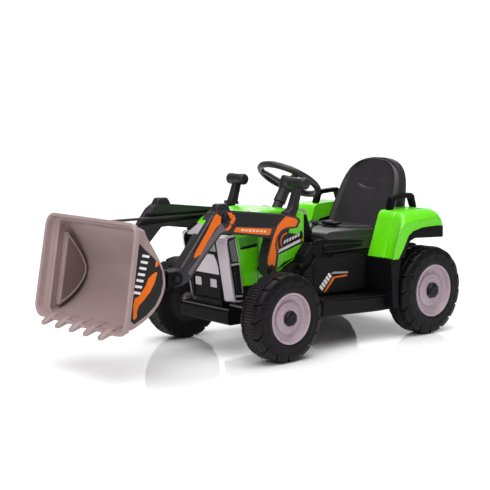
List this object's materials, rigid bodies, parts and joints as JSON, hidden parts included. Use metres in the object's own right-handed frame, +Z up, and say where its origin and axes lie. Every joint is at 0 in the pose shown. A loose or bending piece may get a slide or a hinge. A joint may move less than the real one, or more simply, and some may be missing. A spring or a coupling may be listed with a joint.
{
  "type": "toy front loader",
  "caption": "Child's ride-on toy front loader: green hood and fenders, black body and seat, dished pink-grey rims, two lever-worked loader arms and a toothed bucket.",
  "frame": {"origin": "middle of the underside of the bounding box, on the floor between the four wheels", "axes": "+X towards the driver's left, +Y towards the back of the seat, +Z up; the bucket faces -Y"},
  "size_m": [0.523, 1.248, 0.525],
  "materials": {
    "green_plastic": "gloss",
    "black_plastic": "satin",
    "satin_black": "satin",
    "wheel_black": "matte",
    "pink_grey_plastic": "satin",
    "silver_trim": "gloss",
    "dark_lens": "gloss",
    "fog_lens": "gloss",
    "steel": "satin",
    "battery_case": "satin",
    "gearbox_case": "satin",
    "webbing": "matte",
    "red_button": "gloss",
    "orange_button": "gloss"
  },
  "bodies": {
    "chassis": {"arm_pivot_bolt": "steel", "arm_pivot_nut": "black_plastic", "battery": "battery_case", "belt_buckle": "black_plastic", "body_tub": "black_plastic", "dashboard": "black_plastic", "fender_handle_left": "black_plastic", "fender_handle_right": "black_plastic", "fender_left": "green_plastic", "fender_right": "green_plastic", "fog_lamp_left": "fog_lens", "fog_lamp_right": "fog_lens", "front_axle_beam": "steel", "front_bumper": "black_plastic", "front_fascia": "black_plastic", "front_frame": "black_plastic", "gearbox_left": "gearbox_case", "gearbox_right": "gearbox_case", "headlight_column_left": "silver_trim", "headlight_column_right": "silver_trim", "headlight_lens_left": "dark_lens", "headlight_lens_right": "dark_lens", "hood_shell": "green_plastic", "rear_arch_left": "black_plastic", "rear_arch_right": "black_plastic", "rear_axle": "steel", "seat": "satin_black", "seat_belt": "webbing", "side_grille_left": "black_plastic", "side_grille_right": "black_plastic"},
    "front_wheel_left": {"tyre_front_left": "wheel_black", "rim_front_left": "pink_grey_plastic", "hub_cap_front_left": "black_plastic"},
    "front_wheel_right": {"tyre_front_right": "wheel_black", "rim_front_right": "pink_grey_plastic", "hub_cap_front_right": "black_plastic"},
    "rear_wheel_left": {"tyre_rear_left": "wheel_black", "rim_rear_left": "pink_grey_plastic", "hub_cap_rear_left": "black_plastic"},
    "rear_wheel_right": {"tyre_rear_right": "wheel_black", "rim_rear_right": "pink_grey_plastic", "hub_cap_rear_right": "black_plastic"},
    "steering": {"steering_wheel": "black_plastic", "steering_shaft": "steel"},
    "horn": {"horn_button": "orange_button"},
    "knuckle_l": {"knuckle_left": "steel"},
    "knuckle_r": {"knuckle_right": "steel"},
    "track_rod": {"tie_rod": "steel"},
    "pedal": {"accelerator_pedal": "black_plastic"},
    "gear": {"gear_lever": "black_plastic"},
    "power": {"power_button": "red_button"},
    "loader_arms": {"loader_arm_left": "satin_black", "loader_arm_right": "satin_black", "lift_handle_left": "satin_black", "bucket_hinge_rod": "steel"},
    "bucket_body": {"bucket": "pink_grey_plastic", "bucket_bracket_left": "black_plastic", "bucket_bracket_right": "black_plastic"},
    "tilt_lever": {"tilt_lever_right": "satin_black"},
    "tilt_link": {"tilt_rod": "steel"}
  },
  "joints": [
    {"name": "steering_wheel_turn", "type": "hinge", "parent": "chassis", "child": "steering", "pos_m": [0, 0.131, 0.469], "axis": [0, 0.5143, 0.8576], "range_deg": [-30, 30]},
    {"name": "knuckle_left_steer", "type": "hinge", "parent": "chassis", "child": "knuckle_l", "pos_m": [0.158, -0.097, 0.12], "axis": [0, 0, 1], "range_deg": [-18.05, 18.05]},
    {"name": "knuckle_right_steer", "type": "hinge", "parent": "chassis", "child": "knuckle_r", "pos_m": [-0.158, -0.097, 0.12], "axis": [0, 0, 1], "range_deg": [-18.05, 18.05]},
    {"name": "tie_rod_slide", "type": "slide", "parent": "chassis", "child": "track_rod", "axis": [1, 0, 0], "range_m": [-0.0143, 0.0143]},
    {"name": "horn_press", "type": "slide", "parent": "steering", "child": "horn", "axis": [0, 0.5143, 0.8576], "range_m": [-0.0025, 0], "stiffness_N_per_m": 80, "springref_m": 0.0005},
    {"name": "power_press", "type": "slide", "parent": "chassis", "child": "power", "axis": [0, 0.9341, 0.357], "range_m": [-0.003, 0], "stiffness_N_per_m": 60, "springref_m": 0.0005},
    {"name": "accelerator_press", "type": "hinge", "parent": "chassis", "child": "pedal", "pos_m": [-0.175, 0.161, 0.1445], "axis": [1, 0, 0], "range_deg": [0, 10], "stiffness_Nm_per_rad": 0.3, "springref_deg": -5.73},
    {"name": "gear_select", "type": "hinge", "parent": "chassis", "child": "gear", "pos_m": [0.085, 0.129, 0.322], "axis": [1, 0, 0], "range_deg": [-12, 12]},
    {"name": "front_wheel_left_spin", "type": "hinge", "parent": "knuckle_l", "child": "front_wheel_left", "pos_m": [0.2175, -0.097, 0.12], "axis": [1, 0, 0], "continuous": true},
    {"name": "front_wheel_right_spin", "type": "hinge", "parent": "knuckle_r", "child": "front_wheel_right", "pos_m": [-0.2175, -0.097, 0.12], "axis": [1, 0, 0], "continuous": true},
    {"name": "rear_wheel_left_spin", "type": "hinge", "parent": "chassis", "child": "rear_wheel_left", "pos_m": [0.2125, 0.492, 0.132], "axis": [1, 0, 0], "continuous": true},
    {"name": "rear_wheel_right_spin", "type": "hinge", "parent": "chassis", "child": "rear_wheel_right", "pos_m": [-0.2125, 0.492, 0.132], "axis": [1, 0, 0], "continuous": true},
    {"name": "loader_lift", "type": "hinge", "parent": "chassis", "child": "loader_arms", "pos_m": [0, -0.07, 0.235], "axis": [-1, 0, 0], "range_deg": [-8, 30]},
    {"name": "bucket_tilt", "type": "hinge", "parent": "loader_arms", "child": "bucket_body", "pos_m": [0, -0.4, 0.246], "axis": [1, 0, 0], "range_deg": [-5, 12]},
    {"name": "tilt_lever_swing", "type": "hinge", "parent": "loader_arms", "child": "tilt_lever", "pos_m": [-0.13, -0.012, 0.325], "axis": [1, 0, 0], "range_deg": [-11.6, 27.7]},
    {"name": "tilt_rod_pivot", "type": "hinge", "parent": "tilt_lever", "child": "tilt_link", "pos_m": [-0.1195, 0.006, 0.3725], "axis": [1, 0, 0], "range_deg": [-24.7, 10.3]}
  ],
  "couplings": [
    {"joint": "knuckle_left_steer", "follows": "steering_wheel_turn", "ratio": 0.6},
    {"joint": "knuckle_right_steer", "follows": "steering_wheel_turn", "ratio": 0.6},
    {"joint": "tie_rod_slide", "follows": "steering_wheel_turn", "m_per_rad": -0.027},
    {"joint": "tilt_lever_swing", "follows": "bucket_tilt", "ratio": 2.3},
    {"joint": "tilt_rod_pivot", "follows": "bucket_tilt", "ratio": -2.05}
  ]
}
